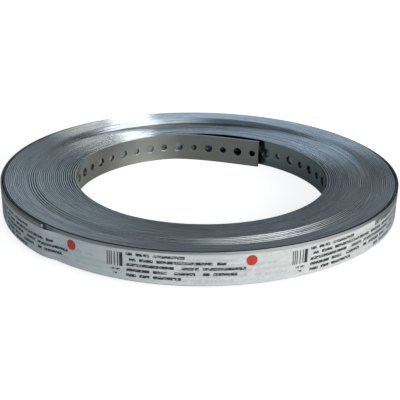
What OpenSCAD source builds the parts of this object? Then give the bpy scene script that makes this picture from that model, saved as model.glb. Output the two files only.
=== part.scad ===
// Roll of perforated metal strap, lying flat.
// One galvanised steel strap is wound into a flat coil, and a printed film
// tape runs round the outside and holds it. Millimetres, +Z up, the origin is
// the centre of the bottom on the coil's axis.

/* [Strap] */
// Width of the strap, which is the height of the lying coil's turns
strap_w = 20; // [12:1:30]
// Thickness of the strap
strap_t = 1; // [0.6:0.1:1]
// Diameter of the large holes
hole_large_d = 6; // [4:0.1:7]
// Diameter of the small holes
hole_small_d = 4.5; // [3:0.1:5]
// Distance from one hole to the next along the strap
hole_pitch = 11.6; // [11:0.1:13]
// Distance from the strap's cut end to its first hole
hole_first = 4.8; // [4:0.1:6]

/* [Coil] */
// Inside diameter of the coil
bore_d = 169; // [150:1:200]
// Number of turns
turns = 38; // [12:1:45]
// Distance from one turn to the next, with the air between them
turn_pitch = 1.2; // [1.15:0.01:1.3]
// Turns at the inside that stand on the floor
turns_low = 19; // [4:1:19]
// Turns over which the coil steps up towards the outside
turns_step = 9; // [4:1:9]
// How far the outer turns stand above the inner turns
step_h = 4; // [0:0.1:4.5]
// Depth of the groove between two turns at each end of the coil
groove_depth = 0.9; // [0.5:0.1:1.5]

/* [Free end] */
// Angle of the strap's inner cut end round the coil
end_angle = 55.4; // [50:0.1:70]
// Angle that the free end spans before it lies against the coil
end_span = 50; // [45:1:50]
// Gap between the cut end and the coil
end_gap = 4.4; // [1:0.1:5]
// How much further the middle of the free end stands off the coil
end_bow = 5.8; // [4:0.1:6.5]

/* [Label tape] */
// Thickness of the film, two layers together
tape_t = 0.3; // [0.2:0.1:0.6]
// Width of the film
tape_w = 18.2; // [10:0.1:18.2]
// Height of the film's lower edge above the outer turns' lower edge
tape_z = 1.1; // [1:0.1:1.8]
// Height by which the outer layer stands above the layer under it
tape_step = 1.6; // [0:0.1:3]
// Angle round the coil where the outer layer ends
tape_end_angle = 320.5; // [300:0.5:340]
// Angle over which the outer layer drops to the under layer's height
tape_open = 100; // [20:1:110]

/* [Hidden] */

r_in = bore_d / 2;
r_out = r_in + turns * turn_pitch;
steel = [0.60, 0.63, 0.66];
film = [0.90, 0.91, 0.91];

// length of the free end along its own curve, and the angle round the coil at
// a length along the strap from its cut end
end_len = end_span * PI / 180 * (r_in - 0.25 * end_gap - 0.56 * end_bow - strap_t / 2);
function angle_at(l) = l < end_len
    ? end_angle + end_span * l / end_len
    : end_angle + end_span + (l - end_len) / (r_in + strap_t / 2) * 180 / PI;
// holes that open into the bore, on the free end and then round the inner turn
hole_count = floor((end_len + (359.5 - end_span) * PI / 180 * (r_in + strap_t / 2)
                    - hole_first) / hole_pitch) + 1;

// how far turn i stands above the innermost turns
function lift(i) =
    step_h * min(1, max(0, (i - turns_low + 1) / turns_step));
function turn_r(i) = r_in + i * turn_pitch;

// outline of one end of the coil, from the bore outwards: flat slit edges
// with a groove after every turn
function upper_edge() = [
    for (i = [0 : turns - 1])
    let (z = strap_w + lift(i), r0 = turn_r(i), r1 = turn_r(i) + strap_t,
         last = i == turns - 1)
    each (last ? [[r0, z], [r_out, z]]
               : [[r0, z], [r1, z],
                  [(r1 + turn_r(i + 1)) / 2, min(z, strap_w + lift(i + 1)) - groove_depth]])
];
function lower_edge() = [
    for (i = [turns - 1 : -1 : 0])
    let (z = lift(i), r0 = turn_r(i), r1 = turn_r(i) + strap_t,
         first = i == 0)
    each (first ? [[r1, z], [r0, z]]
                : [[i == turns - 1 ? r_out : r1, z], [r0, z],
                   [(r0 - turn_pitch + strap_t + r0) / 2, max(z, lift(i - 1)) + groove_depth]])
];

// the wound turns as one turned solid
module coil() {
    rotate_extrude($fn = 240)
        polygon(concat(upper_edge(), lower_edge()));
}

// how far the free end stands off the bore, s = 0 at its root, 1 at its tip
function stand_off(s) = s <= 0 ? 0
    : end_gap * pow(s, 3) + end_bow * 5.38 * pow(s, 1.5) * (1 - s);
// angle between the free end's face and the coil's own curve there
function slope(s) = atan((stand_off(s + 0.01) - stand_off(s - 0.01)) / 0.02
    / (end_span * PI / 180) / (r_in - stand_off(s) - strap_t / 2));

// the free inner end of the strap, standing a little off the coil
module free_end() {
    n = 28;
    inner = [for (k = [0 : n])
        let (s = k / n, a = end_angle + end_span * (1 - s),
             r = r_in - stand_off(s) - strap_t * min(1, 6 * s))
        [r * cos(a), r * sin(a)]];
    outer = [for (k = [n : -1 : 0])
        let (s = k / n, a = end_angle + end_span * (1 - s),
             r = r_in - stand_off(s) + 0.35 * (1 - min(1, 6 * s)))
        [r * cos(a), r * sin(a)]];
    linear_extrude(strap_w)
        polygon(concat(inner, outer));
}

// one hole, drilled outwards from the bore at the middle of the strap
module hole(k) {
    a = angle_at(hole_first + k * hole_pitch);
    d = k % 2 == 0 ? hole_small_d : hole_large_d;
    s = (end_angle + end_span - a) / end_span;
    // on the free end the hole goes square through it, and further round
    // it goes through the innermost turn as far as the next one
    on_end = s > 0.06;
    rm = on_end ? r_in - stand_off(s) - strap_t / 2 : r_in + strap_t / 2;
    before = strap_t / 2 + (on_end ? 1.2 : 2);
    after = on_end ? strap_t / 2 + 0.4 : turn_pitch - strap_t / 2;
    translate([rm * cos(a), rm * sin(a), strap_w / 2])
        rotate([0, 0, on_end ? a - slope(s) : a])
            translate([-before, 0, 0])
                rotate([0, 90, 0])
                    cylinder(h = before + after, d = d, $fn = 96);
}

module strap_roll() {
    color(steel)
        difference() {
            union() {
                coil();
                free_end();
            }
            for (k = [0 : hole_count - 1]) hole(k);
        }
}

// the film tape round the outside, with the upper layer's edge standing above
// the under layer's where the outer layer ends
module label_tape() {
    z0 = step_h + tape_z;
    color(film)
        difference() {
            rotate_extrude($fn = 240)
                translate([r_out, z0])
                    square([tape_t, tape_w]);
            if (tape_step > 0)
                rotate([0, 0, tape_end_angle])
                    rotate_extrude(angle = tape_open, $fn = 240)
                        translate([r_out - 2, z0 + tape_w - tape_step])
                            square([tape_t + 4, tape_step + 2]);
        }
}

strap_roll();
label_tape();
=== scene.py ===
import bpy
import math
import numpy as np
from mathutils import Matrix, Vector


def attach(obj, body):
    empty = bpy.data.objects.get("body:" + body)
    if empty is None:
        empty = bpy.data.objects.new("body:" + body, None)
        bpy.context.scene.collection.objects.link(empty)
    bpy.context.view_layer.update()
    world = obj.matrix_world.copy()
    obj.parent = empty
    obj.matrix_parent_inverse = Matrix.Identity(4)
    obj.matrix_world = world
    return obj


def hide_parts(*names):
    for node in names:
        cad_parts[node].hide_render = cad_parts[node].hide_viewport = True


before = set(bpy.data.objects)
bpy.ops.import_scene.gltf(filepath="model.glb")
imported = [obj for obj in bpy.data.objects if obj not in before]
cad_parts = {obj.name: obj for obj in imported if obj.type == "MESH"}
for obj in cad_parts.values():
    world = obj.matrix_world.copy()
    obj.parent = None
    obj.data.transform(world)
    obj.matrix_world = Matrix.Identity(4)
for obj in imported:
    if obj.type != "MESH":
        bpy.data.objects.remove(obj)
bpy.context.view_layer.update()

MM = 0.001

# ---------------------------------------------------------------- sizes, mm
W = 20.0            # strap width
T = 1.0             # strap thickness
R_IN = 83.95        # bore radius
A0 = 55.4           # angle of the inner cut end
A_END = 226.8 + 37 * 360.0   # angle of the outer cut end
STEP_H = 4.0        # the outer turns stand about this much above the inner ones
PITCH = 11.6        # hole pitch
FIRST = 4.8         # cut end to the first hole
R_SMALL, R_LARGE = 2.25, 3.0
END_SPAN, END_GAP, END_BOW = 50.0, 4.4, 5.8


def smooth(x, a, b):
    t = np.clip((np.asarray(x, float) - a) / (b - a), 0.0, 1.0)
    return t * t * (3 - 2 * t)


def bump(x, a, b, c, d):
    return smooth(x, a, b) * (1 - smooth(x, c, d))


def wave(x, seed, octaves=4, start=1.0):
    """A smooth repeatable wander between about -1 and 1."""
    rng = np.random.RandomState(seed)
    x = np.asarray(x, float)
    out = np.zeros_like(x)
    tot = 0.0
    f, amp = start, 1.0
    for _ in range(octaves):
        ph = rng.uniform(0, 2 * math.pi, 3)
        k = rng.uniform(0.8, 1.25, 3)
        out += amp * (np.sin(f * k[0] * x + ph[0]) + np.sin(1.618 * f * k[1] * x + ph[1])
                      + np.sin(2.414 * f * k[2] * x + ph[2])) / 3.0
        tot += amp * 0.75
        f *= 1.9
        amp *= 0.62
    return out / tot


# ------------------------------------------------------------ the spiral
# A fine table of the centre line: every 0.5 degree, each turn lying on the
# one before it with a small gap.
NT = 720
DA = 360.0 / NT
n_tab = int(round((A_END - A0) / DA)) + 1
ang = A0 + np.arange(n_tab) * DA
turn = (ang - A0) / 360.0
azim = np.mod(ang, 360.0)


def around(az, centre):
    return np.mod(np.asarray(az) - centre + 180.0, 360.0) - 180.0


G0 = 0.180
gap = G0 + 0.055 * wave(turn * 2 * math.pi, 11, 3, 0.83)
# the first turn or two stand off a little all the way round
gap += 0.30 * bump(turn, 1.0, 1.16, 1.9, 2.1) + 0.12 * bump(turn, 1.9, 2.1, 2.9, 3.1)
gap = np.clip(gap, 0.03, None)
# a few looser turns at the left, between the inner and the outer group
d = around(azim, 214.0)
loose = np.clip(1 - (np.abs(d) / 50.0) ** 2, 0, 1) ** 1.5
for t0, g in ((19.0, 0.16), (20.0, 0.34), (21.0, 0.42), (22.0, 0.34), (23.0, 0.16)):
    gap += loose * g * bump(turn, t0 + 0.1, t0 + 0.3, t0 + 0.6, t0 + 0.8)
gap -= loose * (0.085 * bump(turn, 23.5, 25.5, 36.0, 37.4) + 0.030 * bump(turn, 1.5, 3.0, 18.0, 19.5))
gap = np.clip(gap, 0.03, None)
# the outermost turn stands off before its cut end, and again at the right
last = turn[-1]
back = (ang[-1] - ang)          # degrees before the outer end
gap += 0.95 * np.clip(bump(back, -30.0, 2.0, 6.0, 66.0), 0, 1)
gap += 0.95 * bump(back, 195.0, 225.0, 250.0, 290.0)

rad = np.zeros(n_tab)
rad[:NT] = R_IN + T / 2 + (np.arange(NT) / NT) * (T + gap[NT])
for j in range(NT, n_tab, NT):
    m = min(NT, n_tab - j)
    rad[j:j + m] = rad[j - NT:j - NT + m] + T + gap[j:j + m]
# the free inner end stands off the bore
s_end = np.clip((A0 + END_SPAN - ang) / END_SPAN, 0, None)
rad_base = rad.copy()
rad = rad - END_GAP * s_end ** 3 - END_BOW * 5.38 * s_end ** 1.5 * (1 - s_end)
# the bore isn't quite round, and it sits a little off the outside's centre
c_az, s_az = np.cos(np.radians(azim)), np.sin(np.radians(azim))
rad += (0.47 * c_az - 0.89 * s_az) * np.clip(1 - (rad_base - R_IN) / 46.0, 0, 1)
rad -= np.where(turn < 1, 0.4 * (turn - 0.5), 0.2 * np.clip((4 - turn) / 3, 0, 1))
flat = np.clip(1 - (np.abs(around(azim, 200.0)) / 42.0) ** 2, 0, 1) ** 1.5
rad -= 1.6 * flat * np.clip(1 - (rad_base - R_IN) / 20.0, 0, 1)
# and the inner turns lean inwards a little at the top
lean = 0.75 * np.clip(1 - (rad_base - R_IN) / 12.0, 0, 1) * smooth(ang, A0 + 30.0, A0 + 60.0)


def round_table(az, vals):
    """Smooth closed curve through values given every 45 degrees."""
    f = np.fft.rfft(np.asarray(vals, float)) / 8.0
    t = np.radians(az)
    out = np.full_like(t, f[0].real)
    for k in range(1, 5):
        w = 1.0 if k == 4 else 2.0
        out = out + w * (f[k].real * np.cos(k * t) - f[k].imag * np.sin(k * t))
    return out


# heights: the wound turns have slipped into a shallow cone in two groups, with
# a step between them that goes down at the front and up at the back
rr = rad_base
H_B1 = round_table(azim, (1.9, 1.8, 1.7, 1.7, 1.8, 1.9, 2.1, 2.1))
H_B2 = np.clip(round_table(azim, (1.5, 3.0, 3.9, 3.6, 2.4, 1.2, 0.3, 0.1)), 0, None)
H_OUT = round_table(azim, (4.4, 3.9, 3.6, 3.7, 3.9, 3.6, 4.1, 4.7))
R_B1, R_B2, R_OUT = 106.8, 113.2, 129.6
u1 = np.clip((rr - 84.6) / (R_B1 - 84.6), 0, 1)
u2 = np.clip((rr - R_B1) / (R_B2 - R_B1), 0, 1)
u3 = np.clip((rr - R_B2) / (R_OUT - R_B2), 0, 1)
lift = H_B1 * u1 ** 1.2 + (H_B2 - H_B1) * u2 + (H_OUT - H_B2) * u3 ** 0.9
jit = 0.06 * (1 + wave(turn * 2 * math.pi, 21, 3, 0.71)) * smooth(turn, 0.2, 1.5)
jit += 0.035 * (1 + wave(turn * 2 * math.pi, 22, 2, 2.3)) * smooth(turn, 0.2, 1.5)
hgt = lift + jit * (1 - 0.5 * smooth(turn, last - 2.0, last - 0.5))
# each slit edge slopes down a little outwards
tilt = -0.06 + 0.014 * wave(turn * 2 * math.pi, 31, 3, 0.9)

x_tab = rad * np.cos(np.radians(ang))
y_tab = rad * np.sin(np.radians(ang))
s_tab = np.concatenate([[0], np.cumsum(np.hypot(np.diff(x_tab), np.diff(y_tab)))])
print("strap length m", s_tab[-1] / 1000, "outer radius", rad[-1] + 0.5, rad.max() + 0.5, "pitch", (rad[-1] - rad[0]) / turn[-1])


def at_angle(a):
    return (np.interp(a, ang, rad), np.interp(a, ang, hgt), np.interp(a, ang, tilt), np.interp(a, ang, s_tab), np.interp(a, ang, lean))


def angle_of(s):
    return np.interp(s, s_tab, ang)


# ------------------------------------------------- the strap's cross-section
# From the inner face over the top edge to the outer face, then the bottom.
TOPX = np.array([-0.5, -0.34, 0.34, 0.5])
TOPZ = np.array([W - 0.16, W, W, W - 0.16])
STEPX = np.array([-0.5, -0.34, 0.43, 0.5])    # and where the coil steps down
STEPZ = np.array([W - 0.16, W, W, W - 0.07])
NTOP = len(TOPX) - 1
BOTX = np.array([0.5, 0.40, -0.40, -0.5])
BOTZ = np.array([0.12, 0.0, 0.0, 0.12])

verts, faces = [], []
att_s, att_t, att_k, att_x = [], [], [], []


def vert(a, x, z):
    """A vertex at angle a of the spiral, x outwards and z up in the strap."""
    r, h, tl, s, ln = at_angle(a)
    r = r - ln * (z / 10.0 - 1.0)
    zz = z + h + (tl * x if z > W - 1 else 0.0)
    c, sn = math.cos(math.radians(a)), math.sin(math.radians(a))
    verts.append(((r + x) * c * MM, (r + x) * sn * MM, zz * MM))
    att_s.append(s * MM)
    att_t.append((a - A0) / 360.0)
    att_k.append(z)
    att_x.append(x)
    return len(verts) - 1


def column(a, inner_rows=(), kind="plain"):
    n_turn = (a - A0) / 360.0
    stepped = 18.0 < n_turn < 24.6
    tx, tz = (STEPX, STEPZ) if stepped else (TOPX, TOPZ)
    top = [vert(a, x, z) for x, z in zip(tx, tz)]
    bot = [vert(a, x, z) for x, z in zip(BOTX, BOTZ)]
    inn = [vert(a, -0.5, 10 + z) for z in inner_rows]
    out = [vert(a, 0.5, 10 + z) for z in inner_rows]
    return {"top": top, "bot": bot, "inn": inn, "out": out, "kind": kind}


def join(A, B):
    """Faces between two columns, all but the middle square of a hole."""
    for k in range(NTOP):
        faces.append((A["top"][k], A["top"][k + 1], B["top"][k + 1], B["top"][k]))
    for k in range(3):
        faces.append((A["bot"][k], A["bot"][k + 1], B["bot"][k + 1], B["bot"][k]))
    ka, kb = A["kind"], B["kind"]
    for side in ("inn", "out"):
        lo = ("bot", 3 if side == "inn" else 0)
        hi = ("top", 0 if side == "inn" else NTOP)
        a_lo, b_lo = A[lo[0]][lo[1]], B[lo[0]][lo[1]]
        a_hi, b_hi = A[hi[0]][hi[1]], B[hi[0]][hi[1]]
        ra, rb = A[side], B[side]
        polys = []
        if ka == "plain" or kb == "plain":
            polys.append([a_lo] + ra + [a_hi, b_hi] + rb[::-1] + [b_lo])
        else:
            polys.append([a_lo, ra[0], rb[0], b_lo])
            polys.append([ra[-1], a_hi, b_hi, rb[-1]])
            if not (ka in ("left", "mid") and kb in ("mid", "right")):
                polys.append(ra + rb[::-1])
        for p in polys:
            faces.append(tuple(p if side == "inn" else p[::-1]))


HALF = 4.0
CELL = 6                      # divisions of a side of the square round a hole
ROWS = [-HALF + 2 * HALF * i / CELL for i in range(CELL + 1)]


def hole(cols, s_mid, rh):
    """The ring between the square and the hole, and the hole's own wall."""
    N = 4 * CELL

    def ring_of(side):
        pts = []
        L, R = cols[0][side], cols[-1][side]
        mids = cols[1:-1]
        pts += [R[i] for i in range(CELL, 0, -1)]             # right, from the top down
        pts += [R[0]] + [c[side][0] for c in mids[::-1]]      # bottom, right to left
        pts += [L[i] for i in range(0, CELL)]                 # left, upwards
        pts += [L[CELL]] + [c[side][1] for c in mids]         # top, left to right
        return pts

    def circle(x, r):
        ids = []
        for j in range(N):
            t = math.radians(45.0 - 360.0 * j / N)
            a = float(angle_of(s_mid + r * math.cos(t)))
            ids.append(vert(a, x, 10 + r * math.sin(t)))
        return ids

    si, so = ring_of("inn"), ring_of("out")
    rings = [circle(-0.5, rh + 0.16), circle(-0.44, rh + 0.05), circle(-0.3, rh), circle(0.42, rh), circle(0.5, rh + 0.05)]
    chain = [si] + rings + [so]
    for p, q in zip(chain[:-1], chain[1:]):
        for j in range(N):
            k = (j + 1) % N
            faces.append((p[j], p[k], q[k], q[j]))


# the part with real holes: the free end and the first turn
n_holes = int((float(np.interp(A0 + 360.0 + 52.0, ang, s_tab)) - FIRST) / PITCH) + 1
s_mid = [FIRST + PITCH * k for k in range(n_holes)]
first_col = column(float(angle_of(0.0)), (-HALF, HALF), "edge")
prev = first_col
for k, sm in enumerate(s_mid):
    cols = [column(float(angle_of(sm - HALF)), ROWS, "left")]
    for i in range(1, CELL):
        cols.append(column(float(angle_of(sm - HALF + 2 * HALF * i / CELL)), (-HALF, HALF), "mid"))
    cols.append(column(float(angle_of(sm + HALF)), ROWS, "right"))
    join(prev, cols[0])
    for p, q in zip(cols[:-1], cols[1:]):
        join(p, q)
    hole(cols, sm, R_SMALL if k % 2 == 0 else R_LARGE)
    edge = column(float(angle_of(sm + PITCH / 2)), (-HALF, HALF), "edge")
    join(cols[-1], edge)
    prev = edge
a_holes = float(angle_of(s_mid[-1] + PITCH / 2))

# the rest of the strap, plain, up to its outer cut end
SEG = 240
a = math.ceil((a_holes + 0.8) / (360.0 / SEG)) * (360.0 / SEG)
while a < A_END - 0.3:
    c = column(a)
    join(prev, c)
    prev = c
    a += 360.0 / SEG
end_col = column(A_END)
join(prev, end_col)
# cut ends
faces.append(tuple((first_col["top"] + first_col["out"][::-1] + first_col["bot"] + first_col["inn"])[::-1]))
faces.append(tuple(end_col["top"] + end_col["bot"]))


def make_mesh(name, verts, faces, atts):
    me = bpy.data.meshes.new(name)
    me.from_pydata(verts, [], faces)
    me.update()
    for n, vals in atts.items():
        at = me.attributes.new(n, "FLOAT", "POINT")
        at.data.foreach_set("value", np.asarray(vals, np.float32))
    ob = bpy.data.objects.new(name, me)
    bpy.context.scene.collection.objects.link(ob)
    return ob


strap = make_mesh("perforated_strap", verts, faces, {"arc": att_s, "turn": att_t, "across": att_k, "side": att_x})
me = strap.data
me.shade_smooth()
me.set_sharp_from_angle(angle=math.radians(34))
print("strap faces", len(me.polygons), "tris", sum(len(p.vertices) - 2 for p in me.polygons))


# ------------------------------------------------------------- the film tape
# Mesh of the film's outer surface with a thin body behind it.
TZ0, TZ1 = 4.5, 22.65     # the outer layer at the front
EDGE_Z = ((-40.0, 20.4), (-25.0, 20.0), (0.0, 20.0), (60.0, 20.8), (150.0, 21.6), (190.0, 21.4), (212.0, 21.15),
          (244.0, 21.2), (253.0, 21.95), (262.0, 22.15), (300.0, 22.15), (310.0, 22.6), (325.0, 22.6))
PRINT_Z = ((-40.0, 22.65), (-9.0, 22.65), (25.0, 20.7), (60.0, 21.1), (150.0, 21.8), (190.0, 21.5), (205.0, 21.05), (216.0, 20.95), (227.0, 21.25), (240.0, 21.6),
           (253.0, 22.35), (262.0, 22.9), (270.0, 23.1), (285.0, 22.85), (299.0, 22.65), (309.0, 22.95), (325.0, 23.0))


def along_table(a, tab):
    q = np.clip(a + np.linspace(-6.0, 6.0, 9), tab[0][0], tab[-1][0])
    return float(np.mean(np.interp(q, [t[0] for t in tab], [t[1] for t in tab])))


A_STEP = 320.5


def strap_outer(az):
    """Radius of the strap's outer face under the film at that angle."""
    a = np.mod(np.asarray(az, float) - (A_END - 360.0), 360.0) + (A_END - 360.0)
    a = np.clip(a, None, A_END)
    return np.interp(a, ang, rad) + 0.5, np.interp(a, ang, hgt)


def film_radius(az):
    """The film bridges the step at the strap's outer end."""
    az = np.asarray(az, float)
    r, _ = strap_outer(az)
    e = A_END % 360.0
    d = around(az, e)
    r_end = float(np.interp(A_END, ang, rad)) + 0.5
    t = np.clip(d / 5.5, 0, 1)
    bridge = r_end - (r_end - r) * (t * t * (3 - 2 * t))
    return np.where((d > 0) & (d < 5.5), bridge, r)


def build_film(name, a_from, a_to, r_add, drift, seed, thick=0.09, lip=0.0):
    na = int((a_to - a_from) / 1.25) + 1
    az = np.linspace(a_from, a_to, na)
    nz = 11
    rows_o, rows_i = [], []
    V, F, U, Z = [], [], [], []
    for a in az:
        rb = float(film_radius(a % 360.0))
        dz = drift(a)
        hg = float(strap_outer(a % 360.0)[1])
        top = along_table(a, EDGE_Z) if dz is None else TZ1 - dz
        bot = hg + 0.4
        c, sn = math.cos(math.radians(a)), math.sin(math.radians(a))
        ro, ri = [], []
        for i in range(nz):
            f = i / (nz - 1)
            z = bot + (top - bot) * f
            z += 0.05 * float(wave(a * 0.9, seed + 5, 3, 0.11)) * (f > 0.99)
            w = 0.035 * float(wave(a * 0.35 + 1.7 * f, seed, 4, 0.9)) + 0.02 * float(wave(a * 0.13 - 4.0 * f, seed + 1, 3, 2.1))
            w *= 1.0 - 0.5 * abs(2 * f - 1)
            edge = 0.03 * smooth(f, 0.85, 1.0)
            r = rb + r_add + 0.06 + w + float(edge)
            ro.append((r, z))
            ri.append((r - thick, z))
        rows_o.append([(x * c * MM, x * sn * MM, z * MM) for x, z in ro])
        rows_i.append([(x * c * MM, x * sn * MM, z * MM) for x, z in ri])
    for rows in (rows_o, rows_i):
        for j, row in enumerate(rows):
            for i, p in enumerate(row):
                V.append(p)
                U.append(az[j] * math.pi / 180.0 * 0.130 - (0.0524 * (1 - float(smooth(az[j], -20.0, 190.0))) if drift(az[j]) is None else 0.0))
                dz = drift(az[j])
                ref = along_table(az[j], PRINT_Z) if dz is None else TZ1 - dz
                Z.append((p[2] / MM - ref) * MM)
    n = na * nz

    def vid(k, j, i):
        return k * n + j * nz + i
    for j in range(na - 1):
        for i in range(nz - 1):
            F.append((vid(0, j, i), vid(0, j + 1, i), vid(0, j + 1, i + 1), vid(0, j, i + 1)))
            F.append((vid(1, j, i + 1), vid(1, j + 1, i + 1), vid(1, j + 1, i), vid(1, j, i)))
        F.append((vid(0, j, nz - 1), vid(0, j + 1, nz - 1), vid(1, j + 1, nz - 1), vid(1, j, nz - 1)))
        F.append((vid(1, j, 0), vid(1, j + 1, 0), vid(0, j + 1, 0), vid(0, j, 0)))
    for j, flip in ((0, False), (na - 1, True)):
        for i in range(nz - 1):
            f = (vid(0, j, i), vid(0, j, i + 1), vid(1, j, i + 1), vid(1, j, i))
            F.append(f[::-1] if flip else f)
    ob = make_mesh(name, V, F, {"along": U, "down": Z})
    ob.data.shade_smooth()
    ob.data.set_sharp_from_angle(angle=math.radians(40))
    return ob


def drift_outer(a):
    # the outer layer's edge and print follow their own tables
    return None


film_under = build_film("film_tape_under", A_STEP - 42.0, A_STEP + 0.2, 0.0,
                        lambda a: 1.75 + 0.1 * (a - A_STEP) / 40.0, 71)
film = build_film("film_tape", A_STEP - 360.0, A_STEP, 0.0, drift_outer, 61)
# the outer layer lies on the under layer near its end
co = np.zeros(len(film.data.vertices) * 3, np.float32)
film.data.vertices.foreach_get("co", co)
co = co.reshape(-1, 3)
az = np.degrees(np.arctan2(co[:, 1], co[:, 0]))
dd = around(az, A_STEP)
seg = np.zeros(len(co))
al = np.zeros(len(co), np.float32)
film.data.attributes["along"].data.foreach_get("value", al)
a_of = np.repeat(np.tile(np.repeat(np.linspace(A_STEP - 360.0, A_STEP, len(co) // 22), 11), 2), 1)
up = smooth(a_of, A_STEP - 48.0, A_STEP - 40.0)
rr_ = np.hypot(co[:, 0], co[:, 1])
sc = (rr_ + 0.00011 * up) / rr_
co[:, 0] *= sc
co[:, 1] *= sc
film.data.vertices.foreach_set("co", co.ravel())
film.data.update()


# ----------------------------------------------------------------- materials
def new_mat(name):
    m = bpy.data.materials.new(name)
    m.use_nodes = True
    nt = m.node_tree
    nt.nodes.clear()
    return m, nt


class N:
    def __init__(self, nt):
        self.nt = nt

    def add(self, kind, **kw):
        n = self.nt.nodes.new(kind)
        for k, v in kw.items():
            setattr(n, k, v)
        return n

    def link(self, a, b):
        self.nt.links.new(a, b)

    def math(self, op, a, b=None, c=None, clamp=False):
        n = self.add("ShaderNodeMath", operation=op, use_clamp=clamp)
        for i, v in enumerate((a, b, c)):
            if v is None:
                continue
            if isinstance(v, (int, float)):
                n.inputs[i].default_value = v
            else:
                self.link(v, n.inputs[i])
        return n.outputs[0]

    def attr(self, name):
        return self.add("ShaderNodeAttribute", attribute_name=name, attribute_type="GEOMETRY").outputs["Fac"]

    def xyz(self, x, y, z):
        n = self.add("ShaderNodeCombineXYZ")
        for i, v in enumerate((x, y, z)):
            if isinstance(v, (int, float)):
                n.inputs[i].default_value = v
            else:
                self.link(v, n.inputs[i])
        return n.outputs[0]

    def noise(self, vec, scale, detail=3.0, rough=0.55, dist=0.0):
        n = self.add("ShaderNodeTexNoise")
        n.inputs["Scale"].default_value = scale
        n.inputs["Detail"].default_value = detail
        n.inputs["Roughness"].default_value = rough
        n.inputs["Distortion"].default_value = dist
        self.link(vec, n.inputs["Vector"])
        return n.outputs["Fac"]

    def ramp(self, fac, stops, mode="LINEAR"):
        n = self.add("ShaderNodeValToRGB")
        n.color_ramp.interpolation = mode
        els = n.color_ramp.elements
        while len(els) > 1:
            els.remove(els[-1])
        els[0].position, els[0].color = stops[0][0], stops[0][1]
        for p, c in stops[1:]:
            e = els.new(p)
            e.color = c
        self.link(fac, n.inputs["Fac"])
        return n.outputs["Color"]

    def range(self, v, a, b, c, d, clamp=True):
        n = self.add("ShaderNodeMapRange", clamp=clamp)
        for i, x in enumerate((v, a, b, c, d)):
            if isinstance(x, (int, float)):
                n.inputs[i].default_value = x
            else:
                self.link(x, n.inputs[i])
        return n.outputs[0]

    def mix(self, fac, a, b, mode="MIX"):
        n = self.add("ShaderNodeMix", data_type="RGBA", blend_type=mode)
        for sock, v in ((n.inputs[0], fac), (n.inputs[6], a), (n.inputs[7], b)):
            if isinstance(v, (int, float)):
                sock.default_value = v
            elif isinstance(v, tuple):
                sock.default_value = v
            else:
                self.link(v, sock)
        return n.outputs[2]


def grey(v, a=1.0):
    return (v, v, v, a)


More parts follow.
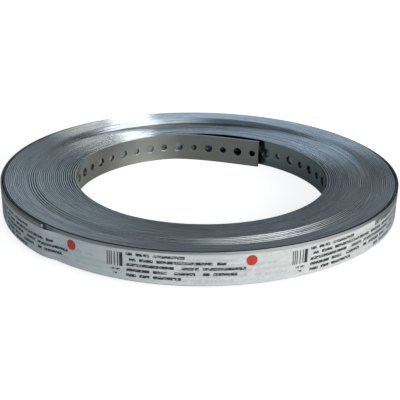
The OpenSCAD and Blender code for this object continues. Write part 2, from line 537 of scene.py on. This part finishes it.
def steel_material():
    m, nt = new_mat("galvanised_steel")
    n = N(nt)
    out = n.add("ShaderNodeOutputMaterial")
    p = n.add("ShaderNodeBsdfPrincipled")
    n.link(p.outputs[0], out.inputs["Surface"])
    p.inputs["Metallic"].default_value = 1.0
    arc, turn_, across, side = n.attr("arc"), n.attr("turn"), n.attr("across"), n.attr("side")
    off = n.math("ABSOLUTE", side)
    # long streaks along the strap, different on every turn
    vec = n.xyz(n.math("MULTIPLY", arc, 3.0), n.math("MULTIPLY", turn_, 9.7), n.math("MULTIPLY", across, 0.02))
    streak = n.noise(vec, 3.0, 4.0, 0.6)
    # spangle and soft blotches on the strap's faces
    face = n.xyz(n.math("MULTIPLY", arc, 1000.0), across, 0.0)
    blot = n.noise(face, 0.22, 5.0, 0.6)
    fine = n.noise(face, 1.4, 3.0, 0.6)
    is_edge = n.math("MAXIMUM", n.range(across, W - 0.20, W - 0.10, 0.0, 1.0), n.range(across, 0.04, 0.13, 1.0, 0.0))
    face_col = n.mix(n.range(blot, 0.3, 0.7, 0.0, 1.0), (0.45, 0.465, 0.44, 1), (0.51, 0.525, 0.50, 1))
    # a painted highlight: a pale patch on the bore's wall; and painted shade: a darker, bluer stretch before a full
    # turn
    wall_highlight = n.math("MULTIPLY", n.range(turn_, 0.120, 0.172, 0.0, 0.85), n.range(turn_, 0.186, 0.245, 1.0, 0.0))
    face_col = n.mix(wall_highlight, face_col, (0.93, 0.94, 0.88, 1))
    right_wall_shade = n.math("MULTIPLY", n.range(turn_, 0.78, 0.86, 0.0, 0.8), n.range(turn_, 1.0, 1.001, 1.0, 0.0))
    face_col = n.mix(right_wall_shade, face_col, (0.36, 0.44, 0.48, 1))
    # the faces that lie against each other: painted light where a hole shows them, painted shade behind the free end
    # and deeper in, and a painted lighter tone further out, where the step shows them
    hole_light = n.math("MULTIPLY", n.range(turn_, 1.14, 1.16, 0.0, 1.0), n.range(turn_, 2.14, 2.16, 1.0, 0.0))
    inner_shade_light = n.math("SUBTRACT", n.range(turn_, 1.0, 1.001, 0.0, 1.0), hole_light)
    face_col = n.mix(hole_light, face_col, (0.66, 0.73, 0.78, 1))
    face_col = n.mix(n.math("MULTIPLY", inner_shade_light, 0.85), face_col, n.mix(n.range(turn_, 10.0, 12.0, 0.0, 1.0), (0.06, 0.065, 0.07, 1), (0.78, 0.84, 0.90, 1)))
    # painted shade on the inward faces of the step, except where the highlight crosses it: there they keep the painted
    # lighter tone as a painted highlight
    step_shade = n.math("MULTIPLY", n.range(side, -0.4, -0.45, 0.0, 0.75), n.math("MULTIPLY", n.range(turn_, 17.9, 18.1, 0.0, 1.0), n.range(turn_, 25.4, 25.6, 1.0, 0.0)))
    way_round = n.math("FRACT", n.math("ADD", turn_, A0 / 360.0))
    step_highlight = n.math("MULTIPLY", n.range(way_round, 0.288, 0.304, 0.0, 1.0), n.range(way_round, 0.352, 0.372, 1.0, 0.0))
    face_col = n.mix(n.math("MULTIPLY", step_shade, n.math("SUBTRACT", 1.0, step_highlight)), face_col, (0.33, 0.36, 0.39, 1))
    # painted light: outward faces made bright (and rougher) where the turns step down; the outermost turns go back to
    # a plain steel tone
    outer_ = n.range(side, 0.0, 0.4, 0.0, 1.0)
    outward_light = n.math("MULTIPLY", outer_, n.range(turn_, 10.0, 12.0, 0.0, 0.97))
    face_col = n.mix(outward_light, face_col, (0.95, 0.97, 0.96, 1))
    last_ = n.math("MULTIPLY", outer_, n.range(turn_, 35.6, 35.9, 0.0, 0.9))
    face_col = n.mix(last_, face_col, (0.50, 0.52, 0.53, 1))
    # painted shade: the walls of the punched holes made near black
    hole_wall_shade = n.math("MULTIPLY", n.range(off, 0.44, 0.48, 1.0, 0.0), n.math("MULTIPLY", n.range(across, 6.0, 6.1, 0.0, 1.0), n.range(across, 13.9, 14.0, 1.0, 0.0)))
    face_col = n.mix(n.math("MULTIPLY", hole_wall_shade, 0.92), face_col, (0.05, 0.055, 0.06, 1))
    edge_col = n.mix(n.range(streak, 0.3, 0.7, 0.0, 1.0), (0.50, 0.54, 0.58, 1), (0.93, 0.96, 1.0, 1))
    # painted shade: the corners of the slit edges made dark, so the gaps between turns read dark, except on the
    # outward corners in the step
    in_step = n.math("MULTIPLY", outer_, n.math("MULTIPLY", n.range(turn_, 18.0, 18.02, 0.0, 1.0), n.range(turn_, 24.58, 24.6, 1.0, 0.0)))
    corner_shade = n.math("MULTIPLY", n.range(off, 0.335, 0.345, 0.0, 1.0), n.math("SUBTRACT", 1.0, in_step))
    edge_col = n.mix(n.math("MULTIPLY", corner_shade, 0.95), edge_col, (0.04, 0.045, 0.05, 1))
    # painted shade: a dark line on the top edge of the outermost turn, less dark on its last stretch
    rim_shade = n.math("MULTIPLY", n.range(turn_, 36.2, 36.25, 0.0, 0.97), n.range(turn_, 37.24, 37.32, 1.0, 0.7))
    edge_col = n.mix(rim_shade, edge_col, (0.035, 0.04, 0.045, 1))
    col = n.mix(is_edge, face_col, edge_col)
    n.link(col, p.inputs["Base Color"])
    r_face = n.range(blot, 0.3, 0.7, 0.19, 0.25)
    r_edge = n.math("ADD", n.range(streak, 0.3, 0.7, 0.11, 0.16), n.math("MULTIPLY", corner_shade, 0.35))
    r_face = n.math("ADD", r_face, n.math("MULTIPLY", outward_light, 0.32))
    mixr = n.add("ShaderNodeMix", data_type="FLOAT")
    n.link(is_edge, mixr.inputs[0]); n.link(r_face, mixr.inputs[2]); n.link(r_edge, mixr.inputs[3])
    n.link(mixr.outputs[0], p.inputs["Roughness"])
    # the slit edges are drawn along the strap, so they spread light across it
    p.inputs["Anisotropic"].default_value = 0.68
    p.inputs["Anisotropic Rotation"].default_value = 0.25
    tan = n.add("ShaderNodeTangent", direction_type="RADIAL", axis="Z")
    n.link(tan.outputs[0], p.inputs["Tangent"])
    b = n.add("ShaderNodeBump")
    b.inputs["Distance"].default_value = 0.0001
    n.link(n.math("MULTIPLY", n.math("SUBTRACT", 1.0, is_edge), 0.12), b.inputs["Strength"])
    n.link(n.math("ADD", fine, n.math("MULTIPLY", streak, 0.6)), b.inputs["Height"])
    n.link(b.outputs[0], p.inputs["Normal"])
    return m


PERIOD = 102.9                 # the print repeats after this, mm
ROW0, ROW_STEP = 2.75, 3.12    # first row of print below the film's edge
ROW_END = (46.0, 67.0, 77.7, 73.0, 43.0)


def step_mask(n, v, a, b, soft=0.06):
    """1 between a and b, mm."""
    lo = n.range(v, a - soft, a + soft, 0.0, 1.0)
    hi = n.range(v, b - soft, b + soft, 1.0, 0.0)
    return n.math("MULTIPLY", lo, hi)


def white(n, x, y):
    w = n.add("ShaderNodeTexWhiteNoise", noise_dimensions="2D")
    n.link(n.xyz(x, y, 0.0), w.inputs["Vector"])
    return w.outputs["Value"]


def print_rows(n, u, v, fine=True):
    """Rows of short broken dashes in blocks, no letters: greeked print."""
    wrap = n.add("ShaderNodeMath", operation="WRAP")
    n.link(u, wrap.inputs[0])
    wrap.inputs[1].default_value = PERIOD
    wrap.inputs[2].default_value = 0.0
    ul = wrap.outputs[0]
    row = n.math("FLOOR", n.math("DIVIDE", n.math("SUBTRACT", v, ROW0 - 1.0), ROW_STEP))
    in_row = n.math("SUBTRACT", n.math("SUBTRACT", v, ROW0 - 1.0), n.math("MULTIPLY", row, ROW_STEP))
    m = step_mask(n, in_row, 0.25, 1.95)
    # which rows, and how far each one runs
    ends = n.add("ShaderNodeValToRGB")
    ends.color_ramp.interpolation = "CONSTANT"
    e = ends.color_ramp.elements
    e[0].position, e[0].color = 0.0, (0, 0, 0, 1)
    e[1].position, e[1].color = 0.5, (ROW_END[0] / 100,) * 3 + (1,)
    for k in range(1, 5):
        x = e.new(0.5 + 0.05 * k)
        x.color = (ROW_END[k] / 100,) * 3 + (1,)
    x = e.new(0.75)
    x.color = (0, 0, 0, 1)
    n.link(n.math("ADD", n.math("MULTIPLY", row, 0.05), 0.51), ends.inputs["Fac"])
    reach = n.math("MULTIPLY", ends.outputs["Color"], 100.0)
    m = n.math("MULTIPLY", m, n.range(n.math("SUBTRACT", reach, ul), -0.1, 0.1, 0.0, 1.0))
    m = n.math("MULTIPLY", m, n.range(ul, 12.4, 12.6, 0.0, 1.0))
    # gaps between the dashes, and a long gap in the first row
    cell = n.math("FLOOR", n.math("DIVIDE", n.math("SUBTRACT", ul, 12.5), 1.9))
    words = n.math("GREATER_THAN", white(n, cell, n.math("MULTIPLY", row, 3.7)), 0.14)
    m = n.math("MULTIPLY", m, words)
    if fine:
        bits = white(n, n.math("FLOOR", n.math("DIVIDE", ul, 0.48)), n.math("FLOOR", n.math("DIVIDE", v, 0.42)))
        m = n.math("MULTIPLY", m, n.math("GREATER_THAN", bits, 0.16))
    return ul, m


def film_material():
    m, nt = new_mat("label_film")
    n = N(nt)
    out = n.add("ShaderNodeOutputMaterial")
    p = n.add("ShaderNodeBsdfPrincipled")
    n.link(p.outputs[0], out.inputs["Surface"])
    along, down = n.attr("along"), n.attr("down")
    u = n.math("MULTIPLY", along, 1000.0)          # mm along the tape
    v = n.math("MULTIPLY", down, -1000.0)          # mm below its upper edge
    vec = n.xyz(u, v, 0.0)
    mott = n.noise(vec, 0.55, 4.0, 0.6)
    cloud = n.noise(n.xyz(n.math("MULTIPLY", u, 0.35), n.math("MULTIPLY", v, 1.0), 3.0), 0.30, 2.0, 0.5)
    base = n.mix(n.range(mott, 0.3, 0.7, 0.0, 1.0), (0.72, 0.74, 0.73, 1), (0.86, 0.88, 0.87, 1))
    base = n.mix(n.range(cloud, 0.35, 0.65, 0.0, 0.35), base, (0.58, 0.62, 0.64, 1))
    # painted shade: the film bluer and darker at the left, and darker at the right past the layer's end
    left = n.range(u, 560.0, 596.0, 1.0, 0.0)
    base = n.mix(n.math("MULTIPLY", left, 0.55), base, (0.50, 0.58, 0.64, 1))
    start = n.math("MULTIPLY", n.range(u, -132.0, -112.0, 0.1, 0.75), n.range(u, -90.0, -60.0, 1.0, 0.0))
    base = n.mix(start, base, (0.40, 0.41, 0.42, 1))
    # the print of the layer under this one shows through faintly
    u2 = n.math("ADD", u, 31.0)
    _, ghost = print_rows(n, u2, n.math("SUBTRACT", v, 1.1), fine=False)
    base = n.mix(n.math("MULTIPLY", ghost, 0.20), base, (0.30, 0.32, 0.34, 1))
    ul, ink = print_rows(n, n.math("SUBTRACT", u, 43.8), v)
    # a block of plain upright bars at the start of each repeat
    bars = n.math("GREATER_THAN", white(n, n.math("FLOOR", n.math("DIVIDE", ul, 0.62)), 5.0), 0.46)
    bars = n.math("MULTIPLY", bars, step_mask(n, ul, 0.0, 10.6))
    bars = n.math("MULTIPLY", bars, step_mask(n, v, 2.4, 10.6))
    small = n.math("MULTIPLY", step_mask(n, ul, 3.4, 9.0), n.math("ADD", step_mask(n, v, 12.0, 13.2), n.math("MULTIPLY", step_mask(n, v, 14.6, 15.7), step_mask(n, ul, 4.9, 7.4))))
    bits = white(n, n.math("FLOOR", n.math("DIVIDE", ul, 0.5)), n.math("FLOOR", n.math("DIVIDE", v, 0.5)))
    small = n.math("MULTIPLY", small, n.math("GREATER_THAN", bits, 0.35))
    black = n.math("MAXIMUM", n.math("MAXIMUM", ink, bars), small)
    worn = n.noise(vec, 0.9, 3.0, 0.7)
    black = n.math("MULTIPLY", black, n.range(worn, 0.28, 0.42, 0.55, 0.97))
    base = n.mix(black, base, (0.012, 0.013, 0.015, 1))
    # a plain red disc further along
    du = n.math("SUBTRACT", ul, 80.6)
    dv = n.math("SUBTRACT", v, 4.6)
    dist = n.math("SQRT", n.math("ADD", n.math("MULTIPLY", du, du), n.math("MULTIPLY", dv, dv)))
    disc = n.math("MULTIPLY", n.range(dist, 3.0, 3.15, 1.0, 0.0), n.range(worn, 0.25, 0.4, 0.7, 0.97))
    base = n.mix(disc, base, (0.60, 0.035, 0.02, 1))
    n.link(base, p.inputs["Base Color"])
    n.link(n.range(mott, 0.3, 0.7, 0.26, 0.42), p.inputs["Roughness"])
    bmp = n.add("ShaderNodeBump")
    bmp.inputs["Strength"].default_value = 0.35
    bmp.inputs["Distance"].default_value = 0.0002
    wr = n.noise(n.xyz(n.math("MULTIPLY", u, 0.5), n.math("MULTIPLY", v, 0.16), 1.0), 0.55, 3.0, 0.55)
    n.link(n.math("ADD", wr, n.math("MULTIPLY", mott, 0.15)), bmp.inputs["Height"])
    n.link(bmp.outputs[0], p.inputs["Normal"])
    return m


steel = steel_material()
label = film_material()
strap.data.materials.append(steel)
for ob in (film, film_under):
    ob.data.materials.append(label)

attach(strap, "root")
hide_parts("strap_roll")
for ob in (film, film_under):
    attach(ob, "root")
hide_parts("label_tape")

# ------------------------------------------------------------------- staging
scene = bpy.context.scene
fl = bpy.data.meshes.new("floor")
S = 6.0
fl.from_pydata([(-S, -S, -0.0002), (S, -S, -0.0002), (S, S, -0.0002), (-S, S, -0.0002)], [], [(0, 1, 2, 3)])
floor = bpy.data.objects.new("floor", fl)
scene.collection.objects.link(floor)
fm, fnt = new_mat("floor_paper")
nn = N(fnt)
fo = nn.add("ShaderNodeOutputMaterial")
dark = nn.add("ShaderNodeBsdfDiffuse")
dark.inputs["Color"].default_value = (0.60, 0.60, 0.58, 1)
pale = nn.add("ShaderNodeBsdfDiffuse")
pale.inputs["Color"].default_value = (0.85, 0.85, 0.85, 1)
glow = nn.add("ShaderNodeEmission")
glow.inputs["Strength"].default_value = 0.78
both = nn.add("ShaderNodeAddShader")
nn.link(pale.outputs[0], both.inputs[0])
nn.link(glow.outputs[0], both.inputs[1])
pick = nn.add("ShaderNodeMixShader")
rayf = nn.add("ShaderNodeLightPath")
nn.link(rayf.outputs["Is Camera Ray"], pick.inputs[0])
nn.link(dark.outputs[0], pick.inputs[1])
nn.link(both.outputs[0], pick.inputs[2])
nn.link(pick.outputs[0], fo.inputs["Surface"])
fl.materials.append(fm)

world = bpy.data.worlds.new("studio")
scene.world = world
world.use_nodes = True
wn = N(world.node_tree)
world.node_tree.nodes.clear()
wo = wn.add("ShaderNodeOutputWorld")


def toward(az, el):
    return Vector((math.cos(math.radians(az)) * math.cos(math.radians(el)),
                   math.sin(math.radians(az)) * math.cos(math.radians(el)),
                   math.sin(math.radians(el))))


way = wn.add("ShaderNodeTexCoord").outputs["Generated"]
sep = wn.add("ShaderNodeSeparateXYZ")
wn.link(way, sep.inputs[0])
up_z = sep.outputs[2]


def card(az, el, inner, outer, color, strength, low=None, high=None):
    """A soft round card in the surroundings, cut off above an elevation."""
    d = wn.add("ShaderNodeVectorMath", operation="DOT_PRODUCT")
    wn.link(way, d.inputs[0])
    d.inputs[1].default_value = toward(az, el)
    m = wn.add("ShaderNodeMapRange", interpolation_type="SMOOTHSTEP")
    wn.link(d.outputs["Value"], m.inputs[0])
    m.inputs[1].default_value = math.cos(math.radians(outer))
    m.inputs[2].default_value = math.cos(math.radians(inner))
    v = m.outputs[0]
    if low is not None:
        h = wn.add("ShaderNodeMapRange", interpolation_type="SMOOTHSTEP")
        wn.link(up_z, h.inputs[0])
        h.inputs[1].default_value = math.sin(math.radians(high))
        h.inputs[2].default_value = math.sin(math.radians(low))
        v = wn.math("MULTIPLY", v, h.outputs[0])
    c = wn.add("ShaderNodeVectorMath", operation="SCALE")
    c.inputs[0].default_value = color
    wn.link(wn.math("MULTIPLY", v, strength), c.inputs["Scale"])
    return c.outputs[0]


CARDS = [
    # azimuth, elevation, inner, outer, colour, strength, from, to
    (312, 12, 12, 56, (1.0, 0.99, 0.96), 2.9, 22, 45),
    (326, 14, 8, 36, (1.0, 0.99, 0.96), 1.2, 24, 42),
    (228, 12, 15, 60, (0.66, 0.82, 1.0), 0.50, 22, 42),
    (84, 10, 8, 16, (0.62, 0.82, 1.0), 1.10, 13.5, 17),
    (94.9, 10.5, 0.6, 2.3, (1.0, 1.0, 0.97), 6.6, 13, 15),
    (98.0, 11, 0.5, 5.0, (1.0, 0.97, 0.88), 1.2, 13.5, 17),
    (112, 20, 8, 22, (0.78, 0.92, 1.0), 0.15, 40, 45),
]
total = None
base = wn.add("ShaderNodeVectorMath", operation="SCALE")
base.inputs[0].default_value = (0.80, 0.92, 1.0)
hz = wn.add("ShaderNodeMapRange", interpolation_type="SMOOTHSTEP")
wn.link(up_z, hz.inputs[0])
for i, v in enumerate((0.40, 0.68, 0.195, 0.110)):
    hz.inputs[i + 1].default_value = v
wn.link(hz.outputs[0], base.inputs["Scale"])
total = base.outputs[0]
for cd in CARDS:
    add = wn.add("ShaderNodeVectorMath", operation="ADD")
    wn.link(total, add.inputs[0])
    wn.link(card(*cd), add.inputs[1])
    total = add.outputs[0]
lit = wn.add("ShaderNodeBackground")
wn.link(total, lit.inputs["Color"])
seen = wn.add("ShaderNodeBackground")
seen.inputs["Color"].default_value = (1, 1, 1, 1)
mixw = wn.add("ShaderNodeMixShader")
ray = wn.add("ShaderNodeLightPath")
wn.link(ray.outputs["Is Camera Ray"], mixw.inputs[0])
wn.link(lit.outputs[0], mixw.inputs[1])
wn.link(seen.outputs[0], mixw.inputs[2])
wn.link(mixw.outputs[0], wo.inputs["Surface"])

cam_data = bpy.data.cameras.new("camera")
cam = bpy.data.objects.new("camera", cam_data)
scene.collection.objects.link(cam)
F_PX, CX, CY, CZ, PITCH_, YAW, ROLL = (777.608, -8.72375, -489.38954, 203.95393, 0.39571224, 0.01878553, 0.01645411)
Fv = np.array([math.sin(YAW) * math.cos(PITCH_), math.cos(YAW) * math.cos(PITCH_), -math.sin(PITCH_)])
R0 = np.array([math.cos(YAW), -math.sin(YAW), 0.0])
U0 = np.cross(R0, Fv)
Rv = R0 * math.cos(ROLL) + U0 * math.sin(ROLL)
Uv = -R0 * math.sin(ROLL) + U0 * math.cos(ROLL)
cam.matrix_world = Matrix((
    (Rv[0], Uv[0], -Fv[0], CX * MM),
    (Rv[1], Uv[1], -Fv[1], CY * MM),
    (Rv[2], Uv[2], -Fv[2], CZ * MM),
    (0, 0, 0, 1)))
cam_data.sensor_width = 36.0
cam_data.lens = F_PX / 400.0 * 36.0
cam_data.clip_start = 0.01
scene.camera = cam
scene.view_settings.view_transform = "Standard"
